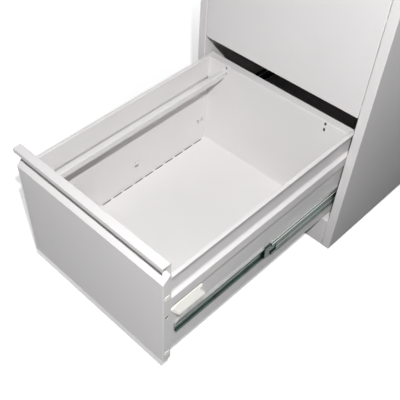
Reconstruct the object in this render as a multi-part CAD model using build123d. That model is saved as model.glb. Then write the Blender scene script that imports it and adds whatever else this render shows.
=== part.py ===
from build123d import *
import os
from math import cos, radians, sin

# Two-drawer steel filing cabinet: the lower drawer stands fully open, the upper one is shut.
# X runs across the front, Y from the front to the back, Z upwards. All sizes are millimetres.
# Each piece is drawn as it lies with its drawer shut and the drawer fronts flush with Y = 0,
# and is then moved to where it stands with the lower drawer pulled out.

# Cabinet shell
CABINET_W = 460.0
CABINET_D = 622.0
PLINTH_H = 86.0
DRAWER_PITCH = 305.0
LID_H = 15.0
SHEET = 0.8
BEND = 1.4
FACE_FLANGE = 21.0
JAMB_D = 22.0
REAR_FLANGE = 15.0
EDGE_FLANGE = 16.0
LID_EDGE_R = 2.0

# Uprights that carry the slides inside the shell
UPRIGHT_SHEET = 1.0
UPRIGHT_W = 52.0
UPRIGHT_GAP = 1.5
REAR_UPRIGHT_INSET = 30.0
HOOK_SLOT = (7.0, 12.0)
HOOK_SLOT_PITCH = 38.0

# Drawer front: one sheet folded back and over into a full-width finger pull
FRONT_GAP = 1.5
FRONT_RISE_GAP = 3.0
PULL_H = 47.0
CHAMFER_RISE = 17.0
PULL_D = 19.3
LIP_H = 10.6
LIP_CORNER_R = 4.0
RETURN_D = 20.4
BOTTOM_FOLD = 16.0
RETURN_SLOT = (10.0, 6.0)
RETURN_SLOT_Z = 150.0
PLUG_HEAD = (15.0, 11.5)
PLUG_T = 0.9
OVAL_FACETS = 4
PLUG_ZS = (25.0, 211.0)
LINER_GAP = 0.3

# Drawer body, measured up from the bottom edge of its front
REAR_SPACE = 54.0
STAYS_INSIDE = 24.0
BODY_BOTTOM = 8.0
RIM_Z = 256.0
BULGE_OUT = 8.2
BULGE_LOW_Z = 166.6
BULGE_TOP_Z = 193.6
LEDGE_RISE = 5.4
LEDGE_BEND = 8.0
RIM_HEM = 5.0
WALL_FOLD = 12.0
FRONT_FOLD = 10.0
FLOOR_RAISE = 5.2
FLOOR_FOOT = 8.0
FLOOR_SLOT = (3.0, 28.0)
FLOOR_SLOT_PITCH = 35.0
FLOOR_SLOT_Y0 = 118.0
BACK_FLANGE = 22.0
BACK_SIDE_FOLD = 13.0
BACK_SLOT = (5.0, 8.0)
BACK_SLOT_ZS = (235.0, 250.2)
BACK_TOP_TRIM = 2.5

# Hang rail for suspension files
RAIL_X = -140.0
RAIL_SHEET = 1.2
RAIL_BOTTOM_Z = 227.0
RAIL_TOP_Z = 242.0
RAIL_TOP_W = 11.2
RAIL_HEM = 5.0
RAIL_HOLE_R = 2.0
RAIL_HOLE_INSET = 27.0
RAIL_SLOT = (7.0, 3.0)
RAIL_SLOT_INSET = 9.0
TONGUE_H = 5.0
TONGUE_OUT = 3.0

# Telescopic ball-bearing slides, three members and two ball cages each
SLIDE_PAST_BODY = 22.0
SLIDE_H = 45.0
SLIDE_T = 12.7
SLIDE_SETBACK = 40.0
MIDDLE_SETBACK = 52.0
SLIDE_Z = 76.5
SLIDE_SHEET = 1.0
BALL_R = 1.6
RACE_GAP = 0.3
BALL_U = 6.6
RACE_STEP_ANGLE = 51.3
MIDDLE_WEB_US = (8.6, 9.5)
MIDDLE_STEP_VS = (-2.5, -5.5)
MIDDLE_NOTCH = (15.0, 18.0)
CAGE_SHEET = 0.5
CAGE_L = 250.0
CAGE_AIR = 0.85
CAGE_REACH = 1.4
OUTER_CAGE_INSET = 4.0
INNER_CAGE_SHOWS = 20.0
BALL_PITCH = 48.0
BALL_COUNT = 5
MEMBER_SLOT = (60.0, 9.0)
MEMBER_SLOT_YS = (360.0, 450.0)
HOOK = (4.0, 8.0, 3.2)
HOOK_GAP = 0.5
FRONT_WALL_HOOK = (305.0, -13.0)
REAR_WALL_HOOK_INSETS = (28.0, 13.0)
WALL_HOOK = (4.0, 7.0)
WALL_SLOTS = ((12.0, 8.0), (5.0, 10.0), (5.0, 10.0))
HOOK_ARM = 1.2
HOOK_TAB = (9.0, 12.0)
SPARE_SLOT = (120.0, 128.0, 5.0)

# Plastic guide block on each drawer side, above the slide
BLOCK_Y = (30.0, 113.0)
BLOCK_Z = (121.5, 150.0)
BLOCK_T = 11.2
BLOCK_RAMP = 15.0
BLOCK_TOE = 2.0
BLOCK_NOSE = (14.0, 18.0, 4.5)
BLOCK_STEP = 7.0
BLOCK_STEP_Z = (131.0, 137.0, 143.5)
BLOCK_TOP_W = 2.5
BLOCK_OUTER_H = 6.0
BLOCK_CLIP = (80.0, 134.0)

# Derived places
OPENING_HALF = CABINET_W / 2 - FACE_FLANGE
FRONT_HALF = OPENING_HALF - FRONT_GAP
FRONT_H = DRAWER_PITCH - FRONT_RISE_GAP
FLAT_H = FRONT_H - PULL_H
CARCASS_TOP = PLINTH_H + 2 * DRAWER_PITCH
CABINET_H = CARCASS_TOP + LID_H
SHELL_INNER = CABINET_W / 2 - SHEET
WALL_X = OPENING_HALF - SLIDE_T
WALL_INNER = WALL_X - SHEET
BODY_D = CABINET_D - REAR_SPACE
TRAVEL = BODY_D - STAYS_INSIDE
BODY_BACK_Y = BODY_D - BACK_FLANGE
FLOOR_SLOT_COUNT = int((BODY_BACK_Y - FLOOR_SLOT_Y0) / FLOOR_SLOT_PITCH)
WALL_HOOKS = [FRONT_WALL_HOOK] + [(BODY_BACK_Y - inset, 0.0) for inset in REAR_WALL_HOOK_INSETS]
SLIDE_END_Y = BODY_D + SLIDE_PAST_BODY
OUTER_CAGE_Y0 = SLIDE_SETBACK + TRAVEL / 4 + OUTER_CAGE_INSET
INNER_CAGE_Y0 = MIDDLE_SETBACK + TRAVEL / 4 - INNER_CAGE_SHOWS
REAR_UPRIGHT_Y = CABINET_D - REAR_UPRIGHT_INSET - UPRIGHT_W
FLOOR_Z = BODY_BOTTOM + SHEET + FLOOR_RAISE
PAN_TOP = PLINTH_H - FRONT_RISE_GAP - SHEET
RACE_R = BALL_R + RACE_GAP + SLIDE_SHEET / 2
OUTER_BALL = (BALL_U, SLIDE_H / 2 - SLIDE_SHEET / 2 - RACE_R)
INNER_BALL = (
    BALL_U - 2 * RACE_R * cos(radians(RACE_STEP_ANGLE)),
    OUTER_BALL[1] - 2 * RACE_R * sin(radians(RACE_STEP_ANGLE)),
)
CABINET_FRONT_Y = (TRAVEL - CABINET_D) / 2
DRAWERS = {"lower": (PLINTH_H, 1.0), "upper": (PLINTH_H + DRAWER_PITCH, 0.0)}
CHAMFER_SLOPE = CHAMFER_RISE / PULL_D


def along_x(face, x0, x1):
    """A solid from a face drawn in Y and Z, from x0 to x1."""
    return extrude(Plane.YZ.offset(x0) * face, amount=x1 - x0)


def along_y(face, y0, y1):
    """A solid from a face drawn in X and Z, from y0 to y1."""
    return extrude(Plane.XZ.offset(-y0) * face, amount=-(y1 - y0))


def along_z(face, z0, z1):
    """A solid from a face drawn in X and Y, from z0 to z1."""
    return extrude(Plane.XY.offset(z0) * face, amount=z1 - z0)


def block(x, y, z):
    """A plain block between two values on each axis."""
    centre = Location(((x[0] + x[1]) / 2, (y[0] + y[1]) / 2, (z[0] + z[1]) / 2))
    return centre * Box(abs(x[1] - x[0]), abs(y[1] - y[0]), abs(z[1] - z[0]))


def outline(*points):
    """A flat face with straight edges through the points."""
    return make_face(Polyline(*points, close=True))


def strip(line, thickness):
    """The cut face of a sheet whose middle follows the line."""
    corners = Kind.INTERSECTION
    near = make_face(offset(line, amount=thickness / 2, kind=corners, side=Side.LEFT))
    far = make_face(offset(line, amount=thickness / 2, kind=corners, side=Side.RIGHT))
    return near + far


def folded(points, radii=BEND, thickness=SHEET):
    """The cut face of a sheet folded along straight runs."""
    return strip(FilletPolyline(*points, radius=radii), thickness)


def creased(points, thickness=SHEET):
    """The cut face of a sheet with sharp folds, for pieces that are out of sight."""
    return strip(Polyline(*points), thickness)


def other_side(solid):
    """The same piece on the left side of the cabinet."""
    return mirror(solid, about=Plane.YZ)


def pair(name, solid, parts):
    """Adds the right-hand piece and its mirrored twin."""
    parts[name + "_right"] = solid
    parts[name + "_left"] = other_side(solid)


def side_panel():
    """Right side of the shell: one sheet with face flange, jamb, rear and end flanges."""
    mid = SHEET / 2
    shell_mid = CABINET_W / 2 - mid
    plan = folded(
        [
            (OPENING_HALF + mid, JAMB_D),
            (OPENING_HALF + mid, mid),
            (shell_mid, mid),
            (shell_mid, CABINET_D - mid),
            (CABINET_W / 2 - REAR_FLANGE, CABINET_D - mid),
        ]
    )
    panel = along_z(plan, 0, CARCASS_TOP)
    flange_x = (CABINET_W / 2 - EDGE_FLANGE, SHELL_INNER)
    flange_y = (SHEET, CABINET_D - SHEET)
    foot = block(flange_x, flange_y, (0, SHEET))
    head = block(flange_x, flange_y, (CARCASS_TOP - SHEET, CARCASS_TOP))
    return panel + foot + head


def lid():
    """Top of the cabinet: a shallow pan turned upside down, with a return along its front."""
    outer = block(
        (-CABINET_W / 2, CABINET_W / 2), (0, CABINET_D), (CARCASS_TOP, CABINET_H)
    )
    outer = fillet(outer.edges().group_by(Axis.Z)[-1], LID_EDGE_R)
    hollow = block(
        (-SHELL_INNER, SHELL_INNER),
        (SHEET, CABINET_D - SHEET),
        (CARCASS_TOP - 1, CABINET_H - SHEET),
    )
    front_return = block(
        (-OPENING_HALF, OPENING_HALF),
        (SHEET / 2, EDGE_FLANGE),
        (CARCASS_TOP, CARCASS_TOP + SHEET),
    )
    return outer - hollow + front_return


def back_panel():
    """Back of the shell, folded forwards along both sides, inside the rear flanges."""
    mid = SHEET / 2
    y = CABINET_D - SHEET - mid
    plan = folded(
        [
            (-SHELL_INNER + mid, y - EDGE_FLANGE),
            (-SHELL_INNER + mid, y),
            (SHELL_INNER - mid, y),
            (SHELL_INNER - mid, y - EDGE_FLANGE),
        ]
    )
    return along_z(plan, SHEET, CARCASS_TOP - SHEET)


def base_pan():
    """Floor of the shell, cut back round the jambs and folded down along both sides."""
    narrow = OPENING_HALF - LINER_GAP
    back = CABINET_D - SHEET - EDGE_FLANGE - 2 * SHEET
    front = JAMB_D + LINER_GAP
    nose = SHEET + BEND
    sheet = outline(
        (-narrow, nose),
        (narrow, nose),
        (narrow, front),
        (SHELL_INNER, front),
        (SHELL_INNER, back),
        (-SHELL_INNER, back),
        (-SHELL_INNER, front),
        (-narrow, front),
    )
    pan = along_z(sheet, PAN_TOP - SHEET, PAN_TOP)
    for side in (-1, 1):
        pan += block(
            (side * (SHELL_INNER - SHEET), side * SHELL_INNER),
            (front, back),
            (PAN_TOP - EDGE_FLANGE, PAN_TOP),
        )
    return pan


def plinth_front():
    """Kick plate between the jambs, folded back at the floor and under the lower drawer."""
    mid = SHEET / 2
    top = PAN_TOP + mid
    section = folded([(EDGE_FLANGE, mid), (mid, mid), (mid, top), (EDGE_FLANGE, top)])
    half = OPENING_HALF - LINER_GAP
    return along_x(section, -half, half)


def slide_levels():
    """Height of each drawer's slides above the floor."""
    return [base + SLIDE_Z for base, _ in DRAWERS.values()]


def upright(y0):
    """Right-hand slotted upright behind the jamb or near the back."""
    mid = UPRIGHT_SHEET / 2
    web = OPENING_HALF + mid
    plan = creased(
        [
            (SHELL_INNER, y0 + mid),
            (web, y0 + mid),
            (web, y0 + UPRIGHT_W - mid),
            (SHELL_INNER, y0 + UPRIGHT_W - mid),
        ],
        UPRIGHT_SHEET,
    )
    post = along_z(plan, PAN_TOP, CARCASS_TOP - SHEET)
    centre = y0 + UPRIGHT_W / 2
    for level in slide_levels():
        for step in (-1, 0, 1):
            z = level + step * HOOK_SLOT_PITCH
            post -= block(
                (OPENING_HALF - 1, web + 1),
                (centre - HOOK_SLOT[0] / 2, centre + HOOK_SLOT[0] / 2),
                (z - HOOK_SLOT[1] / 2, z + HOOK_SLOT[1] / 2),
            )
    return post


def front_upright_y():
    """Front face of the front uprights, just behind the jambs."""
    return JAMB_D + UPRIGHT_GAP


def arc_about(centre, start, turn):
    """An arc of the ball race's middle line about a ball's centre."""
    return CenterArc(centre, RACE_R, start, turn)


def mirrored_pair(upper_curves, joining):
    """One wire from curves above the slide's middle, what joins them, and their mirror images."""
    edges = [edge for curve in upper_curves for edge in curve.edges()]
    lower = [edge for curve in upper_curves for edge in mirror(curve, about=Plane.XZ).edges()]
    return Wire(edges + list(joining.edges()) + lower)


def outer_section():
    """Cabinet member: a C whose edges curl over the outer balls."""
    u, v = OUTER_BALL
    web = SLIDE_T - SLIDE_SHEET / 2
    top = v + RACE_R
    curl = arc_about((u, v), 180, -90)
    joining = FilletPolyline((u, top), (web, top), (web, -top), (u, -top), radius=BEND)
    return strip(mirrored_pair([curl], joining), SLIDE_SHEET)


def middle_section():
    """Middle member: its edges run under the outer balls and then curl over the inner ones."""
    u, v = OUTER_BALL
    low = v - RACE_R
    under_outer = arc_about(OUTER_BALL, 270, -(90 - RACE_STEP_ANGLE))
    over_inner = arc_about(INNER_BALL, RACE_STEP_ANGLE, 180 - RACE_STEP_ANGLE)
    high_web, low_web = MIDDLE_WEB_US
    joining = FilletPolyline(
        (u, low),
        (high_web, low),
        (high_web, MIDDLE_STEP_VS[0]),
        (low_web, MIDDLE_STEP_VS[1]),
        (low_web, -low),
        (u, -low),
        radius=[1.2, 0, 0, 1.2],
    )
    return strip(mirrored_pair([under_outer, over_inner], joining), SLIDE_SHEET)


def inner_section():
    """Drawer member: a shallow channel whose edges run under the inner balls."""
    u, v = INNER_BALL
    low = v - RACE_R
    web = SLIDE_SHEET / 2
    under_inner = arc_about(INNER_BALL, 270, 70)
    joining = Polyline((u, low), (web, low), (web, -low), (u, -low))
    return strip(mirrored_pair([under_inner], joining), SLIDE_SHEET)


def cage_section(ball, web, reach):
    """Ball cage: a thin channel whose edges run level through the ball centres."""
    end = ball[0] - reach
    v = ball[1]
    return creased([(end, v), (web, v), (web, -v), (end, -v)], CAGE_SHEET)


def slide_place(level):
    """Moves a slide section from its own middle to the drawer's side."""
    return Pos(WALL_X, level)


def slide_length(section, level, setback=SLIDE_SETBACK):
    """One slide member from its setback to the common rear end."""
    return along_y(slide_place(level) * section, setback, SLIDE_END_Y)


def slide_outer(level):
    """Cabinet member with long slots through its web and a hook into each upright."""
    web = SLIDE_T - SLIDE_SHEET / 2
    member = slide_length(outer_section(), level)
    for y in MEMBER_SLOT_YS:
        member -= block(
            (WALL_X + web - 1, OPENING_HALF + 1),
            (y - MEMBER_SLOT[0] / 2, y + MEMBER_SLOT[0] / 2),
            (level - MEMBER_SLOT[1] / 2, level + MEMBER_SLOT[1] / 2),
        )
    for y0 in (front_upright_y(), REAR_UPRIGHT_Y):
        y = y0 + UPRIGHT_W / 2
        member += block(
            (WALL_X + web, OPENING_HALF + HOOK[2]),
            (y - HOOK[0] / 2, y + HOOK[0] / 2),
            (level - HOOK[1] / 2, level + HOOK[1] / 2),
        )
    return member


def slide_middle(level):
    """Middle member, open at the front of its web."""
    member = slide_length(middle_section(), level, MIDDLE_SETBACK)
    notch = block(
        (WALL_X + MIDDLE_WEB_US[0] - 2, OPENING_HALF),
        (MIDDLE_SETBACK - 1, MIDDLE_SETBACK + MIDDLE_NOTCH[0]),
        (level - MIDDLE_NOTCH[1] / 2, level + MIDDLE_NOTCH[1] / 2),
    )
    return member - notch


def slide_inner(level):
    """Drawer member with the hooks that hang the drawer's wall."""
    web = SLIDE_SHEET / 2
    member = slide_length(inner_section(), level)
    for y, rise in WALL_HOOKS[1:]:
        z = level + rise
        member += block(
            (WALL_INNER - HOOK[2] / 2, WALL_X + web),
            (y - WALL_HOOK[0] / 2, y + WALL_HOOK[0] / 2),
            (z - WALL_HOOK[1] / 2, z + WALL_HOOK[1] / 2),
        )
    return member + front_hook(level)


def front_hook(level):
    """Hook through the front slot of the drawer's wall, turned up against the wall's inside."""
    y, rise = FRONT_WALL_HOOK
    slot_top = level + rise + WALL_SLOTS[0][1] / 2
    low = slot_top - HOOK_GAP - HOOK_ARM
    outer = WALL_INNER - LINER_GAP
    width = (y - HOOK_TAB[0] / 2, y + HOOK_TAB[0] / 2)
    arm = block((outer - SLIDE_SHEET / 2, WALL_X + SLIDE_SHEET / 2), width, (low, low + HOOK_ARM))
    tab = block((outer - SLIDE_SHEET, outer), width, (low, slot_top + HOOK_TAB[1]))
    return arm + tab


def cage(section, ball, level, y0):
    """A ball cage with an open pocket for each ball along both edges."""
    part = along_y(slide_place(level) * section, y0, y0 + CAGE_L)
    pocket = BALL_R + 0.15
    first = y0 + (CAGE_L - (BALL_COUNT - 1) * BALL_PITCH) / 2
    for row in (-1, 1):
        z = level + row * ball[1]
        for index in range(BALL_COUNT):
            y = first + index * BALL_PITCH
            part -= block(
                (WALL_X + ball[0] - 2 * pocket, WALL_X + ball[0] + pocket),
                (y - pocket, y + pocket),
                (z - 1, z + 1),
            )
    return part


def front_panel(base):
    """Drawer front: flat face, side returns, sloped band, channel back, top and lip in one sheet."""
    mid = SHEET / 2
    x = FRONT_HALF - mid
    top_z = base + FRONT_H
    plan = folded([(-x, RETURN_D), (-x, mid), (x, mid), (x, RETURN_D)])
    shell = along_z(plan, base, base + FLAT_H + CHAMFER_RISE)
    run = 2 * PULL_D
    cut = outline(
        (-PULL_D, base + FLAT_H - PULL_D * CHAMFER_SLOPE),
        (run, base + FLAT_H + run * CHAMFER_SLOPE),
        (-PULL_D, top_z),
    )
    shell -= along_x(cut, -CABINET_W / 2, CABINET_W / 2)
    slope_y = PULL_D - mid
    pull = folded(
        [
            (mid, base + FLAT_H - 2),
            (mid, base + FLAT_H),
            (slope_y, base + FLAT_H + slope_y * CHAMFER_SLOPE),
            (slope_y, top_z - mid),
            (mid, top_z - mid),
            (mid, top_z - LIP_H),
        ],
        [0, BEND, BEND, BEND],
    )
    pull = along_x(pull, -FRONT_HALF, FRONT_HALF)
    lip_ends = pull.edges().filter_by(Axis.Y).group_by(Axis.Z)
    lip_level = [group for group in lip_ends if abs(group[0].center().Z - (top_z - LIP_H)) < 0.1]
    pull = fillet(lip_level[0], LIP_CORNER_R)
    fold = block((-x + mid, x - mid), (SHEET, BOTTOM_FOLD), (base, base + SHEET))
    panel = shell + pull + fold
    for side in (-1, 1):
        place = Plane.YZ.offset(side * x) * Pos(RETURN_D / 2, base + RETURN_SLOT_Z)
        panel -= extrude(place * oval(*RETURN_SLOT), amount=2, both=True)
    return panel


def oval(length, width):
    """A small oval, with its round ends in short flats."""
    radius = width / 2
    centre = length / 2 - radius
    turns = [radians(90 - step * 180 / OVAL_FACETS) for step in range(OVAL_FACETS + 1)]
    right = [(centre + radius * cos(turn), radius * sin(turn)) for turn in turns]
    left = [(-x, -y) for x, y in right]
    return outline(*right, *left)


def front_plugs(base):
    """Oval plastic plugs that close the fixing slots in the front's side returns."""
    plugs = []
    for side in (-1, 1):
        for z in PLUG_ZS:
            place = Plane.YZ.offset(side * FRONT_HALF) * Pos(RETURN_D / 2, base + z)
            plugs.append(extrude(place * oval(*PLUG_HEAD), amount=side * PLUG_T))
    return Compound(children=plugs)


def front_liner(base):
    """Flat inner skin of the front, between the side returns."""
    half = FRONT_HALF - SHEET - LINER_GAP
    top = base + FLAT_H + (RETURN_D - SHEET) * CHAMFER_SLOPE - 3 * SHEET
    return block((-half, half), (RETURN_D - SHEET, RETURN_D), (base + SHEET, top))


def drawer_side(base):
    """Right wall of the drawer body: floor fold, swage, ledge and rolled rim from one sheet."""
    mid = SHEET / 2
    wall = WALL_X - mid
    out = wall + BULGE_OUT
    rim = base + RIM_Z - mid
    section = folded(
        [
            (wall - WALL_FOLD, base + BODY_BOTTOM + mid),
            (wall, base + BODY_BOTTOM + mid),
            (wall, base + BULGE_LOW_Z + mid),
            (out, base + BULGE_LOW_Z + mid),
            (out, base + BULGE_TOP_Z),
            (wall, base + BULGE_TOP_Z + LEDGE_RISE),
            (wall, rim),
            (out, rim),
            (out, rim - RIM_HEM),
        ],
        [0, 0, BEND, BEND, LEDGE_BEND, BEND, BEND],
    )
    side = along_y(section, RETURN_D, BODY_D)
    side += block(
        (WALL_INNER - FRONT_FOLD, WALL_INNER),
        (RETURN_D, RETURN_D + SHEET),
        (base + BODY_BOTTOM + SHEET, base + BULGE_LOW_Z),
    )
    for (y, rise), size in zip(WALL_HOOKS, WALL_SLOTS):
        side -= wall_slot(y, base + SLIDE_Z + rise, size)
    clip = (HOOK[0] + 2 * HOOK_GAP, HOOK[1] + 2 * HOOK_GAP)
    side -= wall_slot(BLOCK_CLIP[0], base + BLOCK_CLIP[1], clip)
    y, rise, across = SPARE_SLOT
    return side - wall_slot(y, base + rise, (across, across))


def wall_slot(y, z, size):
    """A cutter through the drawer's side wall, round a place on it."""
    across, up = size[0] / 2, size[1] / 2
    return block((WALL_INNER - 1, WALL_X + 1), (y - across, y + across), (z - up, z + up))


def drawer_floor(base):
    """Drawer floor: a pan on the wall folds, with a row of divider slots along each side."""
    mid = SHEET / 2
    edge = WALL_INNER - mid
    foot = edge - FLOOR_FOOT
    low = base + BODY_BOTTOM + SHEET + mid
    top = base + FLOOR_Z - mid
    section = creased(
        [(-foot, low), (-edge, low), (-edge, top), (edge, top), (edge, low), (foot, low)]
    )
    floor = along_y(section, RETURN_D + SHEET, BODY_BACK_Y)
    for side in (-1, 1):
        x = side * (WALL_INNER - BEND - FLOOR_SLOT[0] / 2)
        for index in range(FLOOR_SLOT_COUNT):
            y = FLOOR_SLOT_Y0 + index * FLOOR_SLOT_PITCH
            floor -= block(
                (x - FLOOR_SLOT[0] / 2, x + FLOOR_SLOT[0] / 2),
                (y, y + FLOOR_SLOT[1]),
                (top - 1, top + 1),
            )
    return floor


def drawer_back(base):
    """Drawer back: folded at the floor, at both sides and over the top, with the rail slots."""
    mid = SHEET / 2
    y = BODY_BACK_Y + mid
    low = base + BODY_BOTTOM + SHEET + mid
    top = base + RIM_Z - mid
    section = folded(
        [
            (BODY_D - BACK_SIDE_FOLD, low),
            (y, low),
            (y, top),
            (BODY_D - mid, top),
            (BODY_D - mid, top - RIM_HEM),
        ],
        [0, BEND, BEND],
    )
    back = along_x(section, -WALL_INNER, WALL_INNER)
    for side in (-1, 1):
        edge = side * WALL_INNER
        back -= block((edge - side * 2 * BEND, edge + side), (y - 1, BODY_D), (low - 1, low + BEND))
        back -= block((edge - side * BACK_TOP_TRIM, edge + side), (y + 4, BODY_D + 1), (y, base + RIM_Z + 1))
        back += block(
            (edge - side * SHEET, edge),
            (y, y + BACK_SIDE_FOLD),
            (low + RIM_HEM, base + BULGE_LOW_Z),
        )
        for z in BACK_SLOT_ZS:
            back -= block(
                (side * rail_mid() - BACK_SLOT[0] / 2, side * rail_mid() + BACK_SLOT[0] / 2),
                (y - 1, y + 1),
                (base + z - BACK_SLOT[1] / 2, base + z + BACK_SLOT[1] / 2),
            )
    return back


def rail_mid():
    """Middle of the hang rail's upright face."""
    return RAIL_X - RAIL_SHEET / 2


def hang_rail(base):
    """File rail from the liner to the drawer back, hooked into the back's lower slot."""
    x = rail_mid()
    top = base + RAIL_TOP_Z - RAIL_SHEET / 2
    outer = x - RAIL_TOP_W
    section = folded(
        [(x, base + RAIL_BOTTOM_Z), (x, top), (outer, top), (outer, top - RAIL_HEM)],
        BEND,
        RAIL_SHEET,
    )
    rail = along_y(section, RETURN_D, BODY_BACK_Y)
    z = base + RAIL_TOP_Z - 2 * RAIL_HOLE_R - BEND
    web = Plane.YZ.offset(RAIL_X - 2 * RAIL_SHEET)
    hole_y, slot_y = BODY_BACK_Y - RAIL_HOLE_INSET, BODY_BACK_Y - RAIL_SLOT_INSET
    rail -= extrude(web * Pos(hole_y, z) * Circle(RAIL_HOLE_R), amount=3 * RAIL_SHEET)
    rail -= extrude(web * Pos(slot_y, z) * Rectangle(*RAIL_SLOT), amount=3 * RAIL_SHEET)
    z = base + BACK_SLOT_ZS[0] - (BACK_SLOT[1] - TONGUE_H) / 2 + LINER_GAP
    return rail + block(
        (RAIL_X - RAIL_SHEET, RAIL_X),
        (BODY_BACK_Y - 1, BODY_BACK_Y + TONGUE_OUT),
        (z - TONGUE_H / 2, z + TONGUE_H / 2),
    )


def guide_block(base):
    """Plastic block on the drawer's right side, sloped outwards, with a notch at the back."""
    y0, y1 = BLOCK_Y
    z0, z1 = base + BLOCK_Z[0], base + BLOCK_Z[1]
    run, rise, drop = BLOCK_NOSE
    low, middle, high = [base + z for z in BLOCK_STEP_Z]
    inner = y1 - BLOCK_STEP
    face = outline(
        (y0 + run, z0), (y1, z0), (y1, low), (inner, middle), (inner, high), (y1, high + 1),
        (y1, z1), (y0 + BLOCK_RAMP + 2, z1), (y0, z1 - drop), (y0, z0 + rise),
    )
    body = along_x(face, WALL_X, WALL_X + BLOCK_T)
    slope = outline(
        (WALL_X + BLOCK_TOP_W, z1),
        (WALL_X + BLOCK_T, z0 + BLOCK_OUTER_H),
        (WALL_X + BLOCK_T + 1, z0 + BLOCK_OUTER_H),
        (WALL_X + BLOCK_T + 1, z1 + 1),
        (WALL_X + BLOCK_TOP_W, z1 + 1),
    )
    body -= along_y(slope, y0 - 1, y1 + 1)
    ramp = outline(
        (WALL_X + BLOCK_TOE, y0 - 1),
        (WALL_X + BLOCK_TOE, y0),
        (WALL_X + BLOCK_T, y0 + BLOCK_RAMP),
        (WALL_X + BLOCK_T + 1, y0 + BLOCK_RAMP),
        (WALL_X + BLOCK_T + 1, y0 - 1),
    )
    body -= along_z(ramp, z0 - 1, z1 + 1)
    clip_y, clip_z = BLOCK_CLIP[0], base + BLOCK_CLIP[1]
    clip = block(
        (WALL_INNER - HOOK[2] / 2, WALL_X + 1),
        (clip_y - HOOK[0] / 2, clip_y + HOOK[0] / 2),
        (clip_z - HOOK[1] / 2, clip_z + HOOK[1] / 2),
    )
    return body + clip


def build_cabinet():
    """The pieces of the standing shell."""
    parts = {}
    pair("side_panel", side_panel(), parts)
    parts["top_lid"] = lid()
    parts["back_panel"] = back_panel()
    parts["base_pan"] = base_pan()
    parts["plinth_front"] = plinth_front()
    pair("front_upright", upright(front_upright_y()), parts)
    pair("rear_upright", upright(REAR_UPRIGHT_Y), parts)
    for name, (base, _) in DRAWERS.items():
        pair(name + "_slide_outer", slide_outer(base + SLIDE_Z), parts)
    return parts


def build_drawer(name, base):
    """The pieces that travel the whole way with one drawer."""
    parts = {}
    parts[name + "_front_panel"] = front_panel(base)
    parts[name + "_front_liner"] = front_liner(base)
    parts[name + "_front_plugs"] = front_plugs(base)
    pair(name + "_drawer_side", drawer_side(base), parts)
    parts[name + "_drawer_floor"] = drawer_floor(base)
    parts[name + "_drawer_back"] = drawer_back(base)
    parts[name + "_hang_rail"] = hang_rail(base)
    pair(name + "_guide_block", guide_block(base), parts)
    pair(name + "_slide_inner", slide_inner(base + SLIDE_Z), parts)
    return parts


def build_middles(name, base):
    """The slide members that travel half as far as the drawer."""
    parts = {}
    pair(name + "_slide_middle", slide_middle(base + SLIDE_Z), parts)
    return parts


def build_outer_cages(name, base):
    """The ball cages between the outer and middle members, a quarter of the travel."""
    parts = {}
    web = SLIDE_T - SLIDE_SHEET - CAGE_AIR - CAGE_SHEET / 2
    section = cage_section(OUTER_BALL, web, CAGE_REACH)
    pair(name + "_outer_cage", cage(section, OUTER_BALL, base + SLIDE_Z, OUTER_CAGE_Y0), parts)
    return parts


def build_inner_cages(name, base):
    """The ball cages between the middle and inner members, three quarters of the travel."""
    parts = {}
    web = MIDDLE_WEB_US[0] - SLIDE_SHEET / 2 - RACE_GAP - CAGE_SHEET
    section = cage_section(INNER_BALL, web, CAGE_REACH)
    pair(name + "_inner_cage", cage(section, INNER_BALL, base + SLIDE_Z, INNER_CAGE_Y0), parts)
    return parts


def build_all():
    """Every piece where it stands, with the lower drawer open."""
    placed = {}
    for node, solid in build_cabinet().items():
        placed[node] = Pos(0, CABINET_FRONT_Y, 0) * solid
    groups = (
        (build_drawer, 1.0),
        (build_middles, 0.5),
        (build_outer_cages, 0.25),
        (build_inner_cages, 0.75),
    )
    for name, (base, openness) in DRAWERS.items():
        for build, share in groups:
            y = CABINET_FRONT_Y - share * openness * TRAVEL
            for node, solid in build(name, base).items():
                placed[node] = Pos(0, y, 0) * solid
    return placed


os.makedirs("parts", exist_ok=True)
for node, solid in build_all().items():
    export_step(solid, f"parts/{node}.step")
    print(node, solid.bounding_box())
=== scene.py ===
"""Looks of a sheet-steel filing cabinet with two file drawers, the lower one pulled right out.

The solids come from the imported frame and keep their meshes. This script gives them their
finishes, adds the steel balls of the drawer slides and the rounded plugs of the drawer fronts,
and sets up the stage, the lamps and the camera. Lengths are metres unless a name says _mm.
"""
import logging
import math
from dataclasses import dataclass
from enum import Enum

import bmesh
import bpy
from mathutils import Matrix, Quaternion, Vector


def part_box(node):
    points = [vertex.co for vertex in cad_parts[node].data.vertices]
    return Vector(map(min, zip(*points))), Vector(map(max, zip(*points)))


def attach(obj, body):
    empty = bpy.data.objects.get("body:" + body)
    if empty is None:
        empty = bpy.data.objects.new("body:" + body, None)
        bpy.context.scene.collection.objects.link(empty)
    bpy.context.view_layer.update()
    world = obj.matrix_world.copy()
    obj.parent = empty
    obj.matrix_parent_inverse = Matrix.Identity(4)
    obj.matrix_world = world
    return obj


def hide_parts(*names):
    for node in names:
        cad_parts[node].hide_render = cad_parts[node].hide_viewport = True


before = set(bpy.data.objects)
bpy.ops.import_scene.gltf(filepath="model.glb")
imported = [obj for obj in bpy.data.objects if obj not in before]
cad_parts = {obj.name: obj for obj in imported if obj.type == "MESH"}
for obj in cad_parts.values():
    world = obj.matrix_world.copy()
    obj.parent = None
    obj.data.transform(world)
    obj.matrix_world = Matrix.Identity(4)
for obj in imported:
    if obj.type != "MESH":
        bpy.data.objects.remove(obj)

LOG = logging.getLogger("filing_cabinet")

MM = 0.001
SHEET = 0.8 * MM  # The steel sheet of the shell and the drawers.
MERGE = 0.001 * MM  # Points nearer to each other than this are one point.
TOUCH = 0.01 * MM  # Points nearer to a plane than this lie in it.
FACE = 0.2 * MM  # How far a band reaches to both sides of the one face that it takes in.

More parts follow.
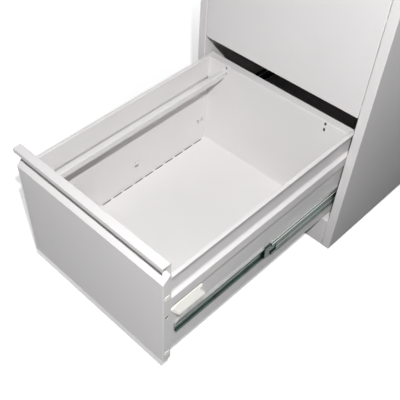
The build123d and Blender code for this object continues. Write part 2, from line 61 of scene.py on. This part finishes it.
# Nearly all values of a noise texture lie between these two.
NOISE_LOW, NOISE_HIGH = 0.3, 0.7

# The sockets of a Mix node by number, because their names repeat for each type of data.
FACTOR, FLOAT_A, FLOAT_B, FLOAT_OUT = 0, 2, 3, 0
COLOUR_A, COLOUR_B, COLOUR_OUT = 6, 7, 2


class Drawer(Enum):
    """The two drawers, by the first word of their nodes' names."""

    LOWER = "lower"
    UPPER = "upper"


class Side(Enum):
    """The two sides of the cabinet, with the sign of X on each."""

    LEFT = -1
    RIGHT = 1


class BallRing(Enum):
    """The two cages of each slide: outside and inside the middle member."""

    OUTER = "outer"
    INNER = "inner"


class Axis(Enum):
    """The axes, by their place in a vector."""

    X = 0
    Y = 1
    Z = 2


def linear(hex_colour: str) -> tuple[float, float, float, float]:
    """Turns an sRGB colour into the linear values that a shader reads.

    Args:
        hex_colour: The colour as "#RRGGBB".

    Returns:
        Red, green, blue and an alpha of 1.
    """
    parts = [int(hex_colour[i : i + 2], 16) / 255 for i in (1, 3, 5)]
    # The straight foot and the curve of the sRGB standard.
    red, green, blue = [c / 12.92 if c <= 0.04045 else ((c + 0.055) / 1.055) ** 2.4 for c in parts]
    return red, green, blue, 1.0


def add_node(
    tree: bpy.types.NodeTree, kind: str, inputs: dict | None = None, **settings: object
) -> bpy.types.Node:
    """Adds one node with its settings, values and links.

    Args:
        tree: The node tree it goes into.
        kind: The node's type name.
        inputs: A value, or the socket to link from, for each input by name or number.
        **settings: The node's own properties.

    Returns:
        The new node.
    """
    node = tree.nodes.new(kind)
    for name, value in settings.items():
        setattr(node, name, value)
    for key, value in (inputs or {}).items():
        if isinstance(value, bpy.types.NodeSocket):
            tree.links.new(value, node.inputs[key])
        else:
            node.inputs[key].default_value = value
    return node


def blank_material(name: str) -> tuple[bpy.types.Material, bpy.types.NodeTree]:
    """Makes a material whose node tree is empty.

    Args:
        name: What the finish is.

    Returns:
        The material and its tree.
    """
    material = bpy.data.materials.new(name)
    material.use_nodes = True
    material.node_tree.nodes.clear()
    return material, material.node_tree


@dataclass(frozen=True)
class Band:
    """A band of a node, between two places on one axis, where the colour differs."""

    axis: Axis
    low: float
    high: float

    def mask(self, tree: bpy.types.NodeTree) -> bpy.types.NodeSocket:
        """Adds a value that is 1 in the band, on either side of the origin, and else 0.

        Args:
            tree: The material's node tree.

        Returns:
            The socket that gives the value.
        """
        place = add_node(tree, "ShaderNodeTexCoord").outputs["Object"]
        along = add_node(tree, "ShaderNodeSeparateXYZ", {0: place}).outputs[self.axis.value]
        away = add_node(tree, "ShaderNodeMath", {0: along}, operation="ABSOLUTE").outputs[0]
        ends = sorted((abs(self.low), abs(self.high)))
        # The node compares its first value with the second, to within the third.
        return add_node(
            tree,
            "ShaderNodeMath",
            {0: away, 1: sum(ends) / 2, 2: (ends[1] - ends[0]) / 2},
            operation="COMPARE",
        ).outputs[0]


@dataclass(frozen=True)
class Patches:
    """Several patches of a node. A patch is where all of its bands meet."""

    patches: tuple[tuple[Band, ...], ...]

    def mask(self, tree: bpy.types.NodeTree) -> bpy.types.NodeSocket:
        """Adds a value that is 1 in any of the patches and else 0."""
        return self.joined(tree, [self.met(tree, bands) for bands in self.patches], "MAXIMUM")

    def met(self, tree: bpy.types.NodeTree, bands: tuple[Band, ...]) -> bpy.types.NodeSocket:
        """Adds a value that is 1 where all of the bands meet and else 0."""
        return self.joined(tree, [band.mask(tree) for band in bands], "MINIMUM")

    @staticmethod
    def joined(
        tree: bpy.types.NodeTree, masks: list[bpy.types.NodeSocket], operation: str
    ) -> bpy.types.NodeSocket:
        """Adds a chain of nodes that makes one value of several masks.

        Args:
            tree: The material's node tree.
            masks: The sockets that give the masks.
            operation: How a Math node takes two of them together.

        Returns:
            The socket that gives the value.
        """
        whole = masks[0]
        for mask in masks[1:]:
            both = {0: whole, 1: mask}
            whole = add_node(tree, "ShaderNodeMath", both, operation=operation).outputs[0]
        return whole


@dataclass(frozen=True)
class PowderCoat:
    """Polyester powder coat, oven-cured on steel sheet: a light grey, semi-matt skin.

    It gives a soft broad sheen, a faint orange-peel ripple and no metal glint.
    """

    name: str = "polyester_powder_coat_light_grey"
    colour: str = "#E2E0E0"
    lighter: str = "#E8E6E6"
    roughness: float = 0.5
    roughness_drift: float = 0.06
    ior: float = 1.5
    specular: float = 0.25
    drift_mm: float = 140.0
    peel_mm: float = 3.0
    peel_height_mm: float = 0.02
    # Painted shade: near black where the band lies.
    coat_shade_colour: str = "#0C0C0C"
    painted_shade: Band | None = None

    def material(self) -> bpy.types.Material:
        """Builds the coat, painted near black as shade in the given band.

        Returns:
            The material.
        """
        made, tree = blank_material(self.name)
        place = add_node(tree, "ShaderNodeTexCoord").outputs["Object"]
        drift = add_node(
            tree,
            "ShaderNodeTexNoise",
            {"Vector": place, "Scale": 1 / (self.drift_mm * MM), "Detail": 2.0},
        ).outputs["Fac"]
        tone = add_node(
            tree,
            "ShaderNodeMix",
            {
                FACTOR: drift,
                COLOUR_A: linear(self.colour),
                COLOUR_B: linear(self.lighter),
            },
            data_type="RGBA",
        ).outputs[COLOUR_OUT]
        if self.painted_shade:
            # Painted shade: the band is near black, for the shade in narrow folds and behind
            # slots.
            tone = add_node(
                tree,
                "ShaderNodeMix",
                {
                    FACTOR: self.painted_shade.mask(tree),
                    COLOUR_A: tone,
                    COLOUR_B: linear(self.coat_shade_colour),
                },
                data_type="RGBA",
            ).outputs[COLOUR_OUT]
        sheen = add_node(
            tree,
            "ShaderNodeMapRange",
            {
                "Value": drift,
                "From Min": NOISE_LOW,
                "From Max": NOISE_HIGH,
                "To Min": self.roughness - self.roughness_drift,
                "To Max": self.roughness + self.roughness_drift,
            },
        ).outputs["Result"]
        # Real orange peel is 1 to 2 mm from crest to crest; 3 mm is the finest that shows.
        peel = add_node(
            tree,
            "ShaderNodeTexNoise",
            {"Vector": place, "Scale": 1 / (self.peel_mm * MM), "Detail": 1.0},
        ).outputs["Fac"]
        ripple = add_node(
            tree,
            "ShaderNodeBump",
            {"Height": peel, "Distance": self.peel_height_mm * MM},
        ).outputs["Normal"]
        skin = add_node(
            tree,
            "ShaderNodeBsdfPrincipled",
            {
                "Base Color": tone,
                "Roughness": sheen,
                "Normal": ripple,
                "IOR": self.ior,
                "Specular IOR Level": self.specular,
            },
        )
        add_node(tree, "ShaderNodeOutputMaterial", {"Surface": skin.outputs["BSDF"]})
        return made


@dataclass(frozen=True)
class ZincPlate:
    """Bright zinc plate with a clear blue-green passivation, on cold-rolled steel.

    It gives a cool metallic grey that shifts to sea green, with fine streaks along the rolling.
    Its bright lines are painted highlights, and its near-black patches are painted shade.
    """

    name: str = "passivated_zinc_plate"
    colour: str = "#67736F"
    darker: str = "#5A6461"
    tinted: str = "#5F7872"
    roughness: float = 0.26
    roughness_drift: float = 0.04
    blotch_mm: float = 40.0
    blotch_stops: tuple[float, float, float] = (0.36, 0.5, 0.64)
    streak_mm: float = 1.5
    streak_length_mm: float = 120.0
    streak_height_mm: float = 0.003
    # Painted highlights: near white on the bright patches.
    zinc_highlight_colour: str = "#F0F3F1"
    bright: Patches | None = None
    # Painted shade: near black on the patches in narrow gaps.
    zinc_shade_colour: str = "#0A0C0B"
    painted_shade: Patches | None = None

    def material(self) -> bpy.types.Material:
        """Builds the plate, with its patches of painted highlight and painted shade.

        Returns:
            The material.
        """
        made, tree = blank_material(self.name)
        place = add_node(tree, "ShaderNodeTexCoord").outputs["Object"]
        blotch = add_node(
            tree,
            "ShaderNodeTexNoise",
            {"Vector": place, "Scale": 1 / (self.blotch_mm * MM), "Detail": 3.0},
        ).outputs["Fac"]
        # Real rolling marks are 0.1 to 0.5 mm apart; 1.5 mm is the finest that shows.
        across, along = 1 / (self.streak_mm * MM), 1 / (self.streak_length_mm * MM)
        stretched = add_node(
            tree, "ShaderNodeMapping", {"Vector": place, "Scale": (across, along, across)}
        ).outputs["Vector"]
        streak = add_node(
            tree, "ShaderNodeTexNoise", {"Vector": stretched, "Scale": 1.0, "Detail": 2.0}
        ).outputs["Fac"]
        ramp = add_node(tree, "ShaderNodeValToRGB", {"Fac": blotch})
        stops = ramp.color_ramp.elements
        dark, plain, tinted = self.blotch_stops
        stops[0].position, stops[0].color = dark, linear(self.darker)
        stops[1].position, stops[1].color = tinted, linear(self.tinted)
        stops.new(plain).color = linear(self.colour)
        tone = ramp.outputs["Color"]
        # Painted highlight: the bright patches are near white. Painted shade: the other patches,
        # which lie in narrow gaps, are near black.
        for patches, colour in ((self.bright, self.zinc_highlight_colour), (self.painted_shade, self.zinc_shade_colour)):
            if patches:
                tone = add_node(
                    tree,
                    "ShaderNodeMix",
                    {FACTOR: patches.mask(tree), COLOUR_A: tone, COLOUR_B: linear(colour)},
                    data_type="RGBA",
                ).outputs[COLOUR_OUT]
        dulled = add_node(
            tree,
            "ShaderNodeMapRange",
            {
                "Value": streak,
                "From Min": NOISE_LOW,
                "From Max": NOISE_HIGH,
                "To Min": self.roughness - self.roughness_drift,
                "To Max": self.roughness + self.roughness_drift,
            },
        ).outputs["Result"]
        grain = add_node(
            tree,
            "ShaderNodeBump",
            {"Height": streak, "Distance": self.streak_height_mm * MM},
        ).outputs["Normal"]
        plate = add_node(
            tree,
            "ShaderNodeBsdfPrincipled",
            {
                "Base Color": tone,
                "Metallic": 1.0,
                "Roughness": dulled,
                "Normal": grain,
            },
        )
        add_node(tree, "ShaderNodeOutputMaterial", {"Surface": plate.outputs["BSDF"]})
        return made


@dataclass(frozen=True)
class MouldedPlastic:
    """Injection-moulded acetal, natural white with a faint warm cast.

    It gives a waxy, satin white with a fine spark-eroded texture and soft edges.
    """

    name: str = "moulded_acetal_white"
    colour: str = "#FAF8F0"
    lighter: str = "#FDFCF6"
    roughness: float = 0.46
    ior: float = 1.48
    drift_mm: float = 25.0
    spark_mm: float = 1.2
    spark_height_mm: float = 0.015
    glow: float = 0.12
    glow_depth_mm: float = 1.5
    glow_reach: tuple[float, float, float] = (1.0, 0.95, 0.85)

    def material(self) -> bpy.types.Material:
        """Builds the plastic.

        Returns:
            The material.
        """
        made, tree = blank_material(self.name)
        place = add_node(tree, "ShaderNodeTexCoord").outputs["Object"]
        drift = add_node(
            tree,
            "ShaderNodeTexNoise",
            {"Vector": place, "Scale": 1 / (self.drift_mm * MM), "Detail": 2.0},
        ).outputs["Fac"]
        tone = add_node(
            tree,
            "ShaderNodeMix",
            {
                FACTOR: drift,
                COLOUR_A: linear(self.colour),
                COLOUR_B: linear(self.lighter),
            },
            data_type="RGBA",
        ).outputs[COLOUR_OUT]
        # A spark-eroded mould has pits of about 0.1 mm; 1.2 mm is the finest that shows.
        pits = add_node(
            tree,
            "ShaderNodeTexNoise",
            {"Vector": place, "Scale": 1 / (self.spark_mm * MM), "Detail": 3.0},
        ).outputs["Fac"]
        texture = add_node(
            tree,
            "ShaderNodeBump",
            {"Height": pits, "Distance": self.spark_height_mm * MM},
        ).outputs["Normal"]
        resin = add_node(
            tree,
            "ShaderNodeBsdfPrincipled",
            {
                "Base Color": tone,
                "Roughness": self.roughness,
                "Normal": texture,
                "IOR": self.ior,
                "Subsurface Weight": self.glow,
                "Subsurface Radius": self.glow_reach,
                "Subsurface Scale": self.glow_depth_mm * MM,
            },
        )
        add_node(tree, "ShaderNodeOutputMaterial", {"Surface": resin.outputs["BSDF"]})
        return made


@dataclass(frozen=True)
class BearingSteel:
    """Hardened and ground chrome steel, with a film of grease.

    It gives small bright points with dark rims.
    """

    name: str = "ground_bearing_steel"
    colour: str = "#C4C7C8"
    roughness: float = 0.12
    film_mm: float = 2.0
    film_drift: float = 0.08

    def material(self) -> bpy.types.Material:
        """Builds the steel, duller where the grease lies thicker.

        Returns:
            The material.
        """
        made, tree = blank_material(self.name)
        place = add_node(tree, "ShaderNodeTexCoord").outputs["Object"]
        film = add_node(
            tree,
            "ShaderNodeTexNoise",
            {"Vector": place, "Scale": 1 / (self.film_mm * MM), "Detail": 1.0},
        ).outputs["Fac"]
        smear = add_node(
            tree,
            "ShaderNodeMapRange",
            {
                "Value": film,
                "From Min": NOISE_LOW,
                "From Max": NOISE_HIGH,
                "To Min": self.roughness,
                "To Max": self.roughness + self.film_drift,
            },
        ).outputs["Result"]
        steel = add_node(
            tree,
            "ShaderNodeBsdfPrincipled",
            {"Base Color": linear(self.colour), "Metallic": 1.0, "Roughness": smear},
        )
        add_node(tree, "ShaderNodeOutputMaterial", {"Surface": steel.outputs["BSDF"]})
        return made


@dataclass(frozen=True)
class Finishes:
    """The finishes that several pieces share, each built once."""

    coat: bpy.types.Material
    zinc: bpy.types.Material
    plastic: bpy.types.Material
    steel: bpy.types.Material

    @classmethod
    def build(cls) -> "Finishes":
        """Builds every finish."""
        return cls(
            coat=PowderCoat().material(),
            zinc=ZincPlate().material(),
            plastic=MouldedPlastic().material(),
            steel=BearingSteel().material(),
        )


def dress(node: str, material: bpy.types.Material) -> None:
    """Gives one of the frame's nodes its finish.

    Args:
        node: The node's name.
        material: Its finish.
    """
    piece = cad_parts[node]
    if not piece.material_slots:
        piece.data.materials.append(material)
    for held in piece.material_slots:
        held.material = material
    LOG.info("dressed %s in %s", node, material.name)


def finished_piece(
    name: str, shape: bmesh.types.BMesh, material: bpy.types.Material
) -> bpy.types.Object:
    """Turns a bmesh whose places are final into an object at the origin.

    Args:
        name: The piece's name.
        shape: Its mesh, which is freed.
        material: Its finish.

    Returns:
        The object, in the scene.
    """
    bmesh.ops.remove_doubles(shape, verts=shape.verts, dist=MERGE)
    bmesh.ops.recalc_face_normals(shape, faces=shape.faces)
    mesh = bpy.data.meshes.new(name)
    shape.to_mesh(mesh)
    shape.free()
    mesh.materials.append(material)
    piece = bpy.data.objects.new(name, mesh)
    bpy.context.scene.collection.objects.link(piece)
    LOG.info("built %s with %d faces", name, len(mesh.polygons))
    return piece


@dataclass(frozen=True)
class Shell:
    """The standing cabinet: folded panels, lid, base, kick plate and uprights."""

    panels: tuple[str, ...] = ("top_lid", "back_panel", "base_pan", "plinth_front")
    paired: tuple[str, ...] = ("side_panel", "front_upright", "rear_upright")

    def dress(self, finishes: Finishes) -> None:
        """Coats every panel and upright.

        Args:
            finishes: The finishes that the pieces share.
        """
        for node in self.panels:
            dress(node, finishes.coat)
        for node in self.paired:
            for side in Side:
                dress(f"{node}_{side.name.lower()}", finishes.coat)


@dataclass(frozen=True)
class FrontPlugs:
    """Oval plugs in the side returns of one drawer front, with a rounded rim."""

    drawer: Drawer
    length: float = 15.0 * MM
    width: float = 11.5 * MM
    rim: float = 0.55 * MM
    rim_steps: int = 3
    facets: int = 32

    def head(self, thickness: float, outwards: int) -> bmesh.types.BMesh:
        """Shapes one plug head on the plane X = 0, centred on the origin in Y and Z.

        Args:
            thickness: How far it stands out of the sheet.
            outwards: The sign of X that it faces.

        Returns:
            The head, with its rim rounded.
        """
        shape = bmesh.new()
        bmesh.ops.create_circle(shape, cap_ends=True, segments=self.facets, radius=self.width / 2)
        # Half a facet's turn leaves no corner on the line where the two halves part.
        turn = Matrix.Rotation(math.pi / self.facets, 3, "Z")
        bmesh.ops.rotate(shape, verts=shape.verts, cent=(0, 0, 0), matrix=turn)
        stretch = (self.length - self.width) / 2
        for way in (-1, 1):
            half = [v for v in shape.verts if v.co.x * way > 0]
            bmesh.ops.translate(shape, verts=half, vec=(way * stretch, 0, 0))
        risen = bmesh.ops.extrude_face_region(shape, geom=shape.faces[:])["geom"]
        top = [g for g in risen if isinstance(g, bmesh.types.BMVert)]
        bmesh.ops.translate(shape, verts=top, vec=(0, 0, thickness))
        rim = [e for e in shape.edges if all(abs(v.co.z - thickness) < TOUCH for v in e.verts)]
        bmesh.ops.bevel(
            shape,
            geom=rim,
            offset=self.rim,
            segments=self.rim_steps,
            profile=0.5,
            affect="EDGES",
            material=-1,
        )
        # Its length turns to Y, its width to Z and its rise to X.
        stand = Matrix(((0, 0, outwards), (1, 0, 0), (0, 1, 0)))
        bmesh.ops.transform(shape, verts=shape.verts, matrix=stand.to_4x4())
        return shape

    def build(self, finishes: Finishes) -> None:
        """Sets four heads where the frame's plugs are.

        Args:
            finishes: The finishes that the pieces share.
        """
        node = f"{self.drawer.value}_front_plugs"
        low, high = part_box(node)
        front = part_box(f"{self.drawer.value}_front_panel")
        whole = bmesh.new()
        for side in Side:
            sheet = front[1].x if side is Side.RIGHT else front[0].x
            edge = high.x if side is Side.RIGHT else low.x
            for height in (low.z + self.width / 2, high.z - self.width / 2):
                head = self.head(abs(edge - sheet), side.value)
                move = Vector((sheet, (low.y + high.y) / 2, height))
                bmesh.ops.translate(head, verts=head.verts, vec=move)
                copy = bpy.data.meshes.new("plug_head")
                head.to_mesh(copy)
                head.free()
                whole.from_mesh(copy)
                bpy.data.meshes.remove(copy)
        piece = finished_piece(f"{self.drawer.value}_plug_heads", whole, finishes.plastic)
        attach(piece, f"{self.drawer.value}_drawer")
        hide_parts(node)


@dataclass(frozen=True)
class BallRows:
    """Two rows of steel balls in one cage of a slide.

    The reach is from the side of the cage that faces the drawer to the balls' middles.
    """

    drawer: Drawer
    ring: BallRing
    side: Side
    radius: float = 1.6 * MM
    reach: float = 1.4 * MM
    cage_sheet: float = 0.5 * MM
    pitch: float = 48.0 * MM
    count: int = 5
    subdivisions: int = 3

    @property
    def cage(self) -> str:
        """The name of the cage's node."""
        return f"{self.drawer.value}_{self.ring.value}_cage_{self.side.name.lower()}"

    def build(self, finishes: Finishes) -> None:
        """Puts a ball in every pocket of the cage.

        Args:
            finishes: The finishes that the pieces share.
        """
        low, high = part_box(self.cage)
        x = low.x + self.reach if self.side is Side.RIGHT else high.x - self.reach
        first = (low.y + high.y - (self.count - 1) * self.pitch) / 2
        rows = bmesh.new()
        for z in (low.z + self.cage_sheet / 2, high.z - self.cage_sheet / 2):
            for index in range(self.count):
                bmesh.ops.create_icosphere(
                    rows,
                    subdivisions=self.subdivisions,
                    radius=self.radius,
                    matrix=Matrix.Translation((x, first + index * self.pitch, z)),
                )
        for face in rows.faces:
            face.smooth = True
        name = f"{self.drawer.value}_{self.ring.value}_balls_{self.side.name.lower()}"
        piece = finished_piece(name, rows, finishes.steel)
        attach(piece, f"{self.drawer.value}_{self.ring.value}_cages")


@dataclass(frozen=True)
class SlidePair:
    """The two telescopic slides of one drawer: three members and two cages on each side.

    The lines are the lower and upper edges of a member's painted highlights, from the slide's
    middle height. The hooks reach hook_reach into the drawer, and below the middle by arm_drop
    their arms bend up into the tabs. All of a slide lies within member_half of its middle.
    """

    drawer: Drawer
    middle_lines_mm: tuple[tuple[float, float], ...] = (
        (18.0, 19.0),
        (16.2, 17.6),
        (-3.6, -2.6),
        (-17.6, -16.6),
    )
    inner_lines_mm: tuple[tuple[float, float], ...] = (
        (13.0, 14.1),
        (8.8, 10.4),
        (3.6, 5.0),
        (-2.6, -1.4),
        (-8.6, -7.2),
    )
    hook_reach: float = 2.8 * MM
    arm_drop: float = 9.0 * MM
    member_half: float = 23.0 * MM

    @property
    def level(self) -> float:
        """The slide's middle height."""
        low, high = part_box(f"{self.drawer.value}_slide_middle_right")
        return (low.z + high.z) / 2

    def lines(self, lines_mm: tuple[tuple[float, float], ...]) -> tuple[tuple[Band, ...], ...]:
        """Places painted highlight lines, measured in mm from the slide's middle height."""
        level = self.level
        return tuple((Band(Axis.Z, level + a * MM, level + b * MM),) for a, b in lines_mm)

    def inner_plate(self) -> bpy.types.Material:
        """Plates the drawer member, with painted highlights on the tabs of its hooks inside the
        wall.

        The hooks' arms and the back of its web, which lie in narrow gaps, are painted black as
        shade.

        Returns:
            The material.
        """
        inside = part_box(f"{self.drawer.value}_drawer_floor")[1].x
        wall = inside + SHEET
        bend = self.level - self.arm_drop
        hooks = Band(Axis.X, inside - self.hook_reach, inside)
        tabs = Band(Axis.Z, bend, self.level + self.member_half)
        arms = Band(Axis.Z, self.level - self.member_half, bend)
        back = Band(Axis.X, wall - FACE, wall + FACE)
        # Painted highlights on the lines and the hook tabs; painted shade on the web's back and
        # the arms.
        return ZincPlate(
            name=f"zinc_plate_{self.drawer.value}_inner",
            bright=Patches((*self.lines(self.inner_lines_mm), (hooks, tabs))),
            painted_shade=Patches(((back,), (hooks, arms))),
        ).material()

    def dress(self, finishes: Finishes) -> None:
        """Plates the members and cages and fills the cages with balls.

        Args:
            finishes: The finishes that the pieces share.
        """
        # Painted highlights along the middle member's lines.
        middle = ZincPlate(
            name=f"zinc_plate_{self.drawer.value}_middle",
            bright=Patches(self.lines(self.middle_lines_mm)),
        ).material()
        inner = self.inner_plate()
        for side in Side:
            hand = side.name.lower()
            dress(f"{self.drawer.value}_slide_outer_{hand}", finishes.zinc)
            dress(f"{self.drawer.value}_slide_middle_{hand}", middle)
            dress(f"{self.drawer.value}_slide_inner_{hand}", inner)
            for ring in BallRing:
                rows = BallRows(self.drawer, ring, side)
                dress(rows.cage, finishes.zinc)
                rows.build(finishes)


@dataclass(frozen=True)
class FileDrawer:
    """One drawer: folded front, body, file rail, guide blocks and plugs.

    The floor's sheet and the pan_clear under it keep their plain coat; its folds below are painted
    shade.
    """

    drawer: Drawer
    sheets: tuple[str, ...] = (
        "front_panel",
        "drawer_back",
        "hang_rail",
        "drawer_side_left",
        "drawer_side_right",
    )
    pan_clear: float = 0.08 * MM
    block_edge: float = 0.6 * MM
    block_edge_steps: int = 2
    block_corner: float = math.radians(40)

    def coat_with_shade_band(self, node: str, painted_shade: Band) -> None:
        """Coats a sheet, with near-black painted shade where part of it lies in shade.

        Args:
            node: The end of the node's name.
            painted_shade: Where the shade is painted.
        """
        name = f"{self.drawer.value}_{node}"
        dress(name, PowderCoat(name=f"powder_coat_{name}", painted_shade=painted_shade).material())

    def dress(self, finishes: Finishes) -> None:
        """Coats the sheets and gives the plastic pieces their finish.

        Args:
            finishes: The finishes that the pieces share.
        """
        for sheet in self.sheets:
            dress(f"{self.drawer.value}_{sheet}", finishes.coat)
        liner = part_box(f"{self.drawer.value}_front_liner")[0].y
        # Painted shade: the liner's front face, seen only through the slots in the returns, is
        # near black.
        self.coat_with_shade_band("front_liner", Band(Axis.Y, liner - FACE, liner + FACE))
        # The floor is a pan. Its folds, from just under its sheet down, lie in the walls' folds.
        # Painted shade: these folds, seen through the slots along the floor, are near black.
        low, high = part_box(f"{self.drawer.value}_drawer_floor")
        folds = Band(Axis.Z, low.z - SHEET, high.z - SHEET - self.pan_clear)
        self.coat_with_shade_band("drawer_floor", folds)
        for side in Side:
            block = f"{self.drawer.value}_guide_block_{side.name.lower()}"
            dress(block, finishes.plastic)
            self.soften(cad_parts[block])
        FrontPlugs(self.drawer).build(finishes)

    def soften(self, piece: bpy.types.Object) -> None:
        """Rounds the moulded edges of a guide block.

        Args:
            piece: The block.
        """
        weld = piece.modifiers.new("join", "WELD")
        weld.merge_threshold = MERGE
        edge = piece.modifiers.new("moulded_edge", "BEVEL")
        edge.width = self.block_edge
        edge.segments = self.block_edge_steps
        edge.limit_method = "ANGLE"
        edge.angle_limit = self.block_corner


@dataclass(frozen=True)
class Stage:
    """A plain white floor that keeps the object's shadow, under a white sky.

    To an eye the floor has a glow of its own, of near_lift at the distance near from the middle
    and far_lift at far, so it fades into the sky. Metal sees that glow start from nothing.
    The light that the floor throws back at the object has the tone front_bounce in front of
    front_edge, a place along Y, and side_bounce behind side_edge.
    """

    floor_half: float = 12.0
    floor_colour: str = "#F4F4F4"
    front_bounce: str = "#A0A0A0"
    side_bounce: str = "#202020"
    front_edge: float = -0.35
    side_edge: float = 0.05
    near_lift: float = 0.45
    far_lift: float = 1.0
    near: float = 0.5
    far: float = 1.25
    sky_fill: float = 0.03

    def seen_directly(self, tree: bpy.types.NodeTree) -> bpy.types.NodeSocket:
        """Adds a value that is 1 where an eye, a mirror or a glass looks, and else 0.

        Args:
            tree: The node tree of the floor or the sky.

        Returns:
            The socket that gives the value.
        """
        path = add_node(tree, "ShaderNodeLightPath")
        first = add_node(
            tree,
            "ShaderNodeMath",
            {0: path.outputs["Is Camera Ray"], 1: path.outputs["Is Glossy Ray"]},
            operation="MAXIMUM",
        ).outputs[0]
        return add_node(
            tree,
            "ShaderNodeMath",
            {0: first, 1: path.outputs["Is Transmission Ray"]},
            operation="MAXIMUM",
        ).outputs[0]

    def build(self) -> None:
        """Makes the floor and the sky."""
        shape = bmesh.new()
        bmesh.ops.create_grid(shape, x_segments=1, y_segments=1, size=self.floor_half)
        made, tree = blank_material("white_paper_floor")
        seen = self.seen_directly(tree)
        place = add_node(tree, "ShaderNodeTexCoord").outputs["Object"]
        back = add_node(tree, "ShaderNodeSeparateXYZ", {0: place}).outputs["Y"]
        beside = add_node(
            tree,
            "ShaderNodeMapRange",
            {"Value": back, "From Min": self.front_edge, "From Max": self.side_edge},
        ).outputs["Result"]
        bounce = add_node(
            tree,
            "ShaderNodeMix",
            {
                FACTOR: beside,
                COLOUR_A: linear(self.front_bounce),
                COLOUR_B: linear(self.side_bounce),
            },
            data_type="RGBA",
        ).outputs[COLOUR_OUT]
        paper = add_node(
            tree,
            "ShaderNodeMix",
            {FACTOR: seen, COLOUR_A: bounce, COLOUR_B: linear(self.floor_colour)},
            data_type="RGBA",
        ).outputs[COLOUR_OUT]
        matt = add_node(tree, "ShaderNodeBsdfDiffuse", {"Color": paper})
        away = add_node(
            tree, "ShaderNodeVectorMath", {0: place}, operation="LENGTH"
        ).outputs["Value"]
        spread = add_node(
            tree,
            "ShaderNodeMapRange",
            {
                "Value": away,
                "From Min": self.near,
                "From Max": self.far,
                "To Min": self.near_lift,
                "To Max": self.far_lift,
            },
        ).outputs["Result"]
        mirrored = add_node(
            tree,
            "ShaderNodeMapRange",
            {"Value": away, "From Min": self.near, "From Max": self.far},
        ).outputs["Result"]
        eye = add_node(tree, "ShaderNodeLightPath").outputs["Is Camera Ray"]
        glow = add_node(
            tree, "ShaderNodeMix", {FACTOR: eye, FLOAT_A: mirrored, FLOAT_B: spread}
        ).outputs[FLOAT_OUT]
        lift = add_node(
            tree, "ShaderNodeMath", {0: seen, 1: glow}, operation="MULTIPLY"
        ).outputs[0]
        lit = add_node(tree, "ShaderNodeEmission", {"Strength": lift})
        both = add_node(
            tree, "ShaderNodeAddShader", {0: matt.outputs["BSDF"], 1: lit.outputs["Emission"]}
        )
        add_node(tree, "ShaderNodeOutputMaterial", {"Surface": both.outputs["Shader"]})
        finished_piece("floor", shape, made)
        self.sky()

    def sky(self) -> None:
        """Makes the world: a weak even fill, seen as white."""
        world = bpy.data.worlds.new("white_sky")
        world.use_nodes = True
        world.node_tree.nodes.clear()
        tree = world.node_tree
        strength = add_node(
            tree,
            "ShaderNodeMapRange",
            {"Value": self.seen_directly(tree), "To Min": self.sky_fill, "To Max": 1.0},
        ).outputs["Result"]
        sky = add_node(tree, "ShaderNodeBackground", {"Strength": strength})
        add_node(tree, "ShaderNodeOutputWorld", {"Surface": sky.outputs["Background"]})
        bpy.context.scene.world = world


@dataclass(frozen=True)
class Lamp:
    """A square lamp, hard when it is small and a soft box when it is large."""

    name: str
    place: tuple[float, float, float]
    aim: tuple[float, float, float]
    size: float
    power: float

    def build(self) -> None:
        """Hangs the lamp and turns it to what it lights."""
        data = bpy.data.lights.new(self.name, "AREA")
        data.shape = "SQUARE"
        data.size = self.size
        data.energy = self.power
        lamp = bpy.data.objects.new(self.name, data)
        bpy.context.scene.collection.objects.link(lamp)
        lamp.location = self.place
        lamp.rotation_mode = "QUATERNION"
        lamp.rotation_quaternion = (Vector(self.aim) - Vector(self.place)).to_track_quat("-Z", "Y")


# The key casts the hard shadows, and the fills light the front and the rear from far away.
LAMPS: tuple[Lamp, ...] = (
    Lamp("key", place=(0.745, -1.02, 1.585), aim=(0.0, -0.25, 0.25), size=0.03, power=28.0),
    Lamp("front_fill", place=(-0.3, -2.6, 0.9), aim=(0.0, -0.3, 0.3), size=1.6, power=6.5),
    Lamp("back_fill", place=(-2.2, 2.4, 1.8), aim=(0.0, 0.2, 0.35), size=1.5, power=26.0),
)


@dataclass(frozen=True)
class PhotoCamera:
    """The camera that took the photograph, as fitted to its edges.

    The photograph is a part of a larger picture, so its middle is off the lens's axis.
    """

    place: tuple[float, float, float] = (0.6625, -1.0263, 1.2104)
    look: tuple[float, float, float] = (-0.4616, 0.4421, -0.7691)
    roll: float = -0.0081
    focal_px: float = 637.95
    axis_px: tuple[float, float] = (159.43, 246.97)
    frame_px: float = 400.0
    sensor_mm: float = 36.0

    def build(self) -> None:
        """Makes it the scene's camera."""
        data = bpy.data.cameras.new("photo_camera")
        data.sensor_width = self.sensor_mm
        data.lens = self.sensor_mm * self.focal_px / self.frame_px
        middle = self.frame_px / 2
        data.shift_x = (middle - self.axis_px[0]) / self.frame_px
        data.shift_y = (self.axis_px[1] - middle) / self.frame_px
        camera = bpy.data.objects.new("photo_camera", data)
        bpy.context.scene.collection.objects.link(camera)
        camera.location = self.place
        camera.rotation_mode = "QUATERNION"
        level = Vector(self.look).to_track_quat("-Z", "Y")
        camera.rotation_quaternion = level @ Quaternion((0, 0, 1), self.roll)
        bpy.context.scene.camera = camera


def main() -> None:
    """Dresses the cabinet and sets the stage."""
    logging.basicConfig(level=logging.INFO, format="%(message)s")
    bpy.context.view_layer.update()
    bpy.context.scene.view_settings.view_transform = "Standard"
    PhotoCamera().build()
    Stage().build()
    for lamp in LAMPS:
        lamp.build()
    finishes = Finishes.build()
    Shell().dress(finishes)
    for drawer in Drawer:
        FileDrawer(drawer).dress(finishes)
        SlidePair(drawer).dress(finishes)


if __name__ == "__main__":
    main()
